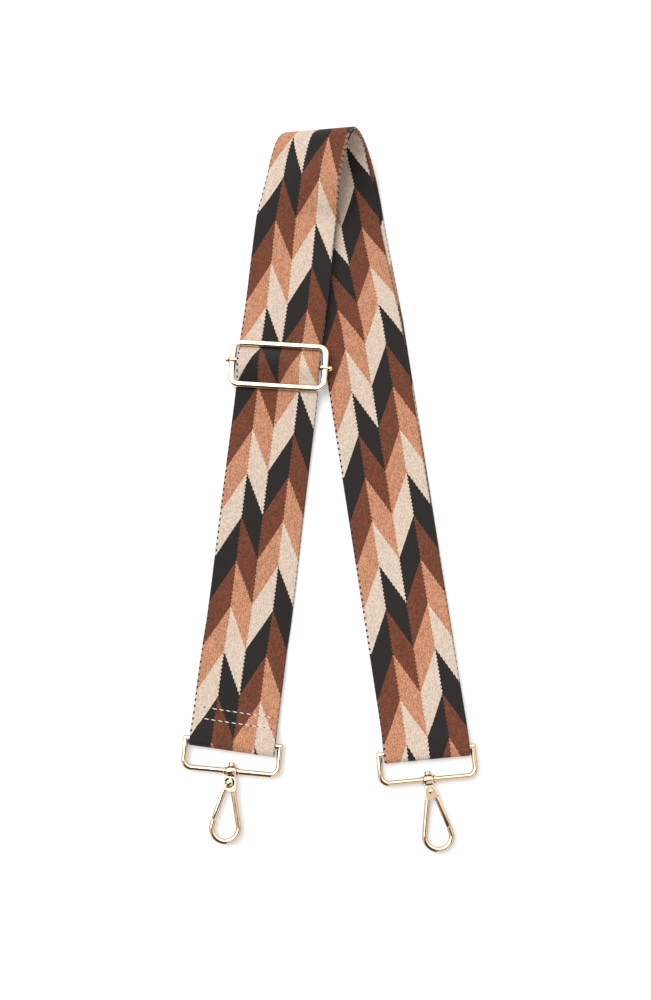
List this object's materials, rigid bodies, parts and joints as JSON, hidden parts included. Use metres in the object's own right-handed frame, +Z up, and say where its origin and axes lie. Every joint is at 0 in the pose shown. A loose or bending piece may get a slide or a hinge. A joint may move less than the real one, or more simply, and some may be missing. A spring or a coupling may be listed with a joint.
{
  "type": "detachable bag strap",
  "caption": "Wide woven zigzag bag strap lying folded over, with a sliding length adjuster and a swivel snap hook on a wide ring at each end.",
  "frame": {"origin": "middle of the lying strap's outline, on the surface it lies on", "axes": "+X across from the left end to the right end, +Y from the clasps towards the fold, +Z up from the table"},
  "size_m": [0.1719, 0.4355, 0.0334],
  "materials": {
    "webbing": "woven",
    "gold_metal": "polished plating",
    "gate_metal": "polished plating",
    "spring_steel": "drawn wire"
  },
  "bodies": {
    "webbing": {"webbing_left_tail": "webbing", "webbing_left_loop": "webbing", "webbing_left_end": "webbing", "webbing_left_run": "webbing", "webbing_left_upper": "webbing", "webbing_return_run": "webbing", "webbing_fold_outer": "webbing", "webbing_fold_inner": "webbing", "webbing_right_bottom": "webbing", "webbing_right_loop": "webbing", "webbing_right_top": "webbing"},
    "slider": {"webbing_slider_pass": "webbing", "webbing_bar_loop": "webbing", "slider_frame": "gold_metal", "slider_bar": "gold_metal"},
    "left_ring": {"left_ring": "gold_metal"},
    "left_hook": {"left_hook": "gold_metal", "left_rivet": "gold_metal", "left_gate_spring": "spring_steel"},
    "left_gate": {"left_gate": "gate_metal"},
    "right_ring": {"right_ring": "gold_metal"},
    "right_hook": {"right_hook": "gold_metal", "right_rivet": "gold_metal", "right_gate_spring": "spring_steel"},
    "right_gate": {"right_gate": "gate_metal"}
  },
  "joints": [
    {"name": "slider_slide", "type": "slide", "parent": "webbing", "child": "slider", "axis": [-0.1134, -0.9935, 0], "range_m": [-0.02, 0.15], "deforming": ["webbing_left_run", "webbing_left_upper", "webbing_return_run"]},
    {"name": "left_ring_hinge", "type": "hinge", "parent": "webbing", "child": "left_ring", "pos_m": [-0.05595, -0.15364, 0.00345], "axis": [0.9956, -0.0941, 0], "range_deg": [-120, 120]},
    {"name": "left_hook_swivel", "type": "hinge", "parent": "left_ring", "child": "left_hook", "pos_m": [-0.05696, -0.17012, 0.00345], "axis": [0.0506, 0.9987, 0], "continuous": true},
    {"name": "left_gate_hinge", "type": "hinge", "parent": "left_hook", "child": "left_gate", "pos_m": [-0.05779, -0.17669, 0.00345], "axis": [0, 0, 1], "range_deg": [0, 24], "stiffness_Nm_per_rad": 0.08, "springref_deg": -20.05, "deforming": ["left_gate_spring"]},
    {"name": "right_ring_hinge", "type": "hinge", "parent": "webbing", "child": "right_ring", "pos_m": [0.05565, -0.15854, 0.00345], "axis": [0.9956, 0.0941, 0], "range_deg": [-120, 120]},
    {"name": "right_hook_swivel", "type": "hinge", "parent": "right_ring", "child": "right_hook", "pos_m": [0.05686, -0.175, 0.00345], "axis": [-0.1219, 0.9925, 0], "continuous": true},
    {"name": "right_gate_hinge", "type": "hinge", "parent": "right_hook", "child": "right_gate", "pos_m": [0.05816, -0.18149, 0.00345], "axis": [0, 0, -1], "range_deg": [0, 24], "stiffness_Nm_per_rad": 0.08, "springref_deg": -20.05, "deforming": ["right_gate_spring"]}
  ]
}
